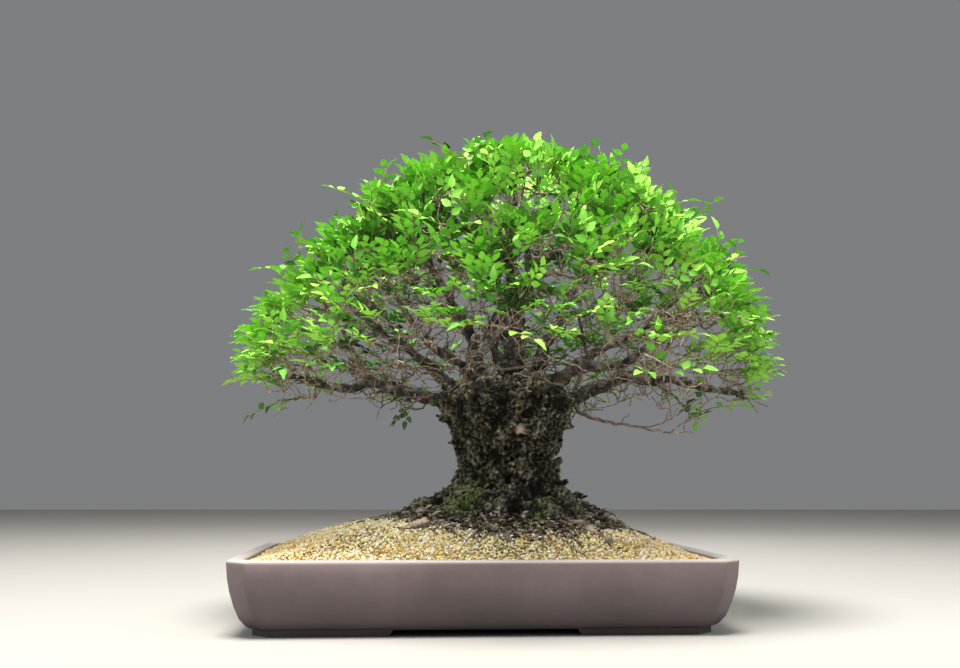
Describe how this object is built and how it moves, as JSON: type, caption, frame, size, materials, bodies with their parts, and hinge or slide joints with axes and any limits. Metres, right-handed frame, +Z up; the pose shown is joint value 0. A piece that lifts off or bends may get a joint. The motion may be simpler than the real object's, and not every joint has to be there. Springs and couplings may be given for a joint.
{
  "type": "chinese elm bonsai",
  "caption": "Small broad-crowned elm with a flared gnarled trunk and leafy sprays, growing from a soil mound in a rectangular cut-corner clay tray.",
  "frame": {"origin": "on the plane that the pot's feet stand on, under the trunk, at the bottom centre of the bounding box", "axes": "+X to the right along the pot's length as seen from the front, -Y towards the viewer, +Z up"},
  "size_m": [0.6376, 0.5181, 0.5613],
  "materials": {
    "pot": "unglazed grey-brown stoneware, satin",
    "soil": "tan baked-clay grains, matte",
    "bark": "dark knobbly bark, matte",
    "foliage": "bright green small leaves on thin twigs, satin",
    "screen": "black moulded mesh, matte",
    "wire": "brown anodised wire, satin"
  },
  "bodies": {
    "root": {"pot": "pot", "soil": "soil", "trunk_and_branches": "bark", "spray_01": "foliage", "spray_02": "foliage", "spray_03": "foliage", "spray_04": "foliage", "spray_05": "foliage", "spray_06": "foliage", "spray_07": "foliage", "spray_08": "foliage", "spray_09": "foliage", "spray_10": "foliage", "spray_11": "foliage", "spray_12": "foliage", "spray_13": "foliage", "spray_14": "foliage", "spray_15": "foliage", "spray_16": "foliage", "spray_17": "foliage", "spray_18": "foliage", "spray_19": "foliage", "spray_20": "foliage", "spray_21": "foliage", "spray_22": "foliage", "spray_23": "foliage", "spray_24": "foliage", "spray_25": "foliage", "spray_26": "foliage", "spray_27": "foliage", "spray_28": "foliage", "spray_29": "foliage", "spray_30": "foliage", "spray_31": "foliage", "spray_32": "foliage", "spray_33": "foliage", "spray_34": "foliage", "spray_35": "foliage", "drain_screen_left": "screen", "drain_screen_right": "screen", "drain_clip_left": "wire", "drain_clip_right": "wire"}
  },
  "joints": []
}
